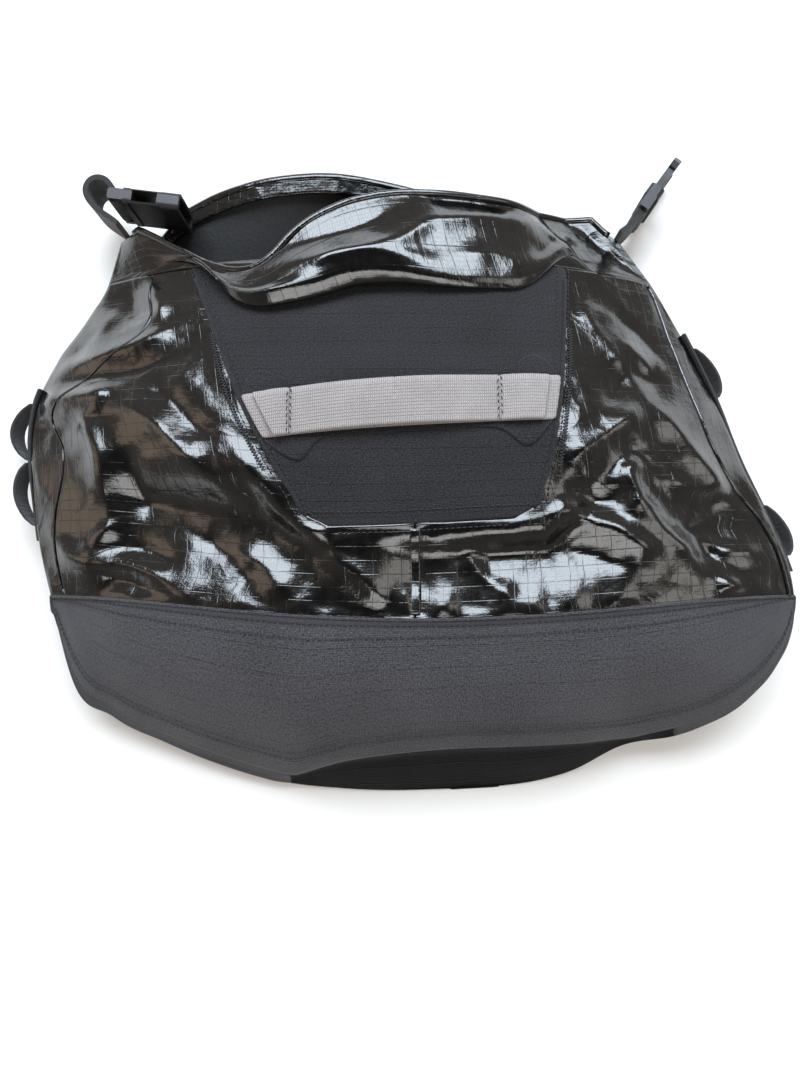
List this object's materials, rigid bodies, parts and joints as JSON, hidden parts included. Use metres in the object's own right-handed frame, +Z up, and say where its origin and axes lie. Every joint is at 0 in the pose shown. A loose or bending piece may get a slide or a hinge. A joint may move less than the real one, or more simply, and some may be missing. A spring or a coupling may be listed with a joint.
{
  "type": "dry bag",
  "caption": "Soft roll-top dry bag with a box base, lying empty on its back: glossy coated walls, matte insert and base band, webbing grab handle, side loops and side-release buckle halves.",
  "frame": {"origin": "on the resting plane, on the centre seam's line, at the foot of the front insert, inside the resting back face", "axes": "+X across the bag to the wearer's view right, +Y from the base to the mouth, +Z up from the resting back through the front"},
  "size_m": [0.4601, 0.3831, 0.103],
  "materials": {
    "glossy_ripstop": "gloss",
    "matte_ripstop": "matte",
    "grey_webbing": "matte",
    "grey_thread": "matte",
    "black_webbing": "matte",
    "seam_tape": "satin",
    "buckle_plastic": "satin"
  },
  "bodies": {
    "bag": {"front_insert": "matte_ripstop", "handle_patch": "matte_ripstop", "base_band_front": "matte_ripstop", "base_band_back": "matte_ripstop", "base_band_left": "matte_ripstop", "base_band_right": "matte_ripstop", "bottom_panel": "matte_ripstop", "front_panel_left": "glossy_ripstop", "front_panel_right": "glossy_ripstop", "gusset_left": "glossy_ripstop", "gusset_right": "glossy_ripstop", "back_panel": "glossy_ripstop", "centre_seam": "glossy_ripstop", "insert_piping_left": "black_webbing", "insert_piping_right": "black_webbing", "gusset_piping_left": "glossy_ripstop", "gusset_piping_right": "glossy_ripstop", "base_piping": "matte_ripstop", "seam_tape_left": "seam_tape", "seam_tape_right": "seam_tape", "seam_tape_base": "seam_tape", "handle_base_strap": "grey_webbing", "handle_end_loops": "grey_webbing", "handle_bartacks": "grey_thread", "daisy_tape_left": "black_webbing", "daisy_tape_right": "black_webbing", "daisy_loops_left": "black_webbing", "daisy_loops_right": "black_webbing"},
    "handle": {"handle_strap": "grey_webbing"},
    "collar": {"collar_front": "glossy_ripstop", "collar_back": "glossy_ripstop", "collar_side_left": "glossy_ripstop", "collar_side_right": "glossy_ripstop", "rim_hem_front": "glossy_ripstop", "rim_hem_back": "glossy_ripstop"},
    "tab_left": {"tab_left": "black_webbing"},
    "tab_right": {"tab_right": "black_webbing"},
    "buckle_socket": {"buckle_female": "buckle_plastic"},
    "buckle_plug": {"buckle_male": "buckle_plastic"},
    "prong_upper": {"prong_upper": "buckle_plastic"},
    "prong_lower": {"prong_lower": "buckle_plastic"}
  },
  "joints": [
    {"name": "collar_fold", "type": "hinge", "parent": "bag", "child": "collar", "pos_m": [0, 0.138, 0.0622], "axis": [1, 0, 0], "range_deg": [0, 95]},
    {"name": "handle_lift", "type": "slide", "parent": "bag", "child": "handle", "axis": [0, 0, 1], "range_m": [0, 0.015]},
    {"name": "tab_left_swing", "type": "hinge", "parent": "collar", "child": "tab_left", "pos_m": [-0.17483, 0.1806, 0.03], "axis": [0, 0, 1], "range_deg": [-6, 40]},
    {"name": "socket_swing", "type": "hinge", "parent": "tab_left", "child": "buckle_socket", "pos_m": [-0.17733, 0.1966, 0.03], "axis": [0, 0, 1], "range_deg": [-6, 40]},
    {"name": "tab_right_swing", "type": "hinge", "parent": "collar", "child": "tab_right", "pos_m": [0.12412, 0.1806, 0.0185], "axis": [0, 0, 1], "range_deg": [-35, 35]},
    {"name": "plug_swing", "type": "hinge", "parent": "tab_right", "child": "buckle_plug", "pos_m": [0.13812, 0.1956, 0.0185], "axis": [0, 0, 1], "range_deg": [-40, 40]},
    {"name": "prong_upper_flex", "type": "hinge", "parent": "buckle_plug", "child": "prong_upper", "pos_m": [0.14653, 0.20717, 0.0306], "axis": [-0.809, 0.5878, 0], "range_deg": [0, 8], "stiffness_Nm_per_rad": 0.6},
    {"name": "prong_lower_flex", "type": "hinge", "parent": "buckle_plug", "child": "prong_lower", "pos_m": [0.14653, 0.20717, 0.0064], "axis": [0.809, -0.5878, 0], "range_deg": [0, 8], "stiffness_Nm_per_rad": 0.6}
  ],
  "couplings": [
    {"joint": "prong_lower_flex", "follows": "prong_upper_flex", "ratio": 1}
  ]
}
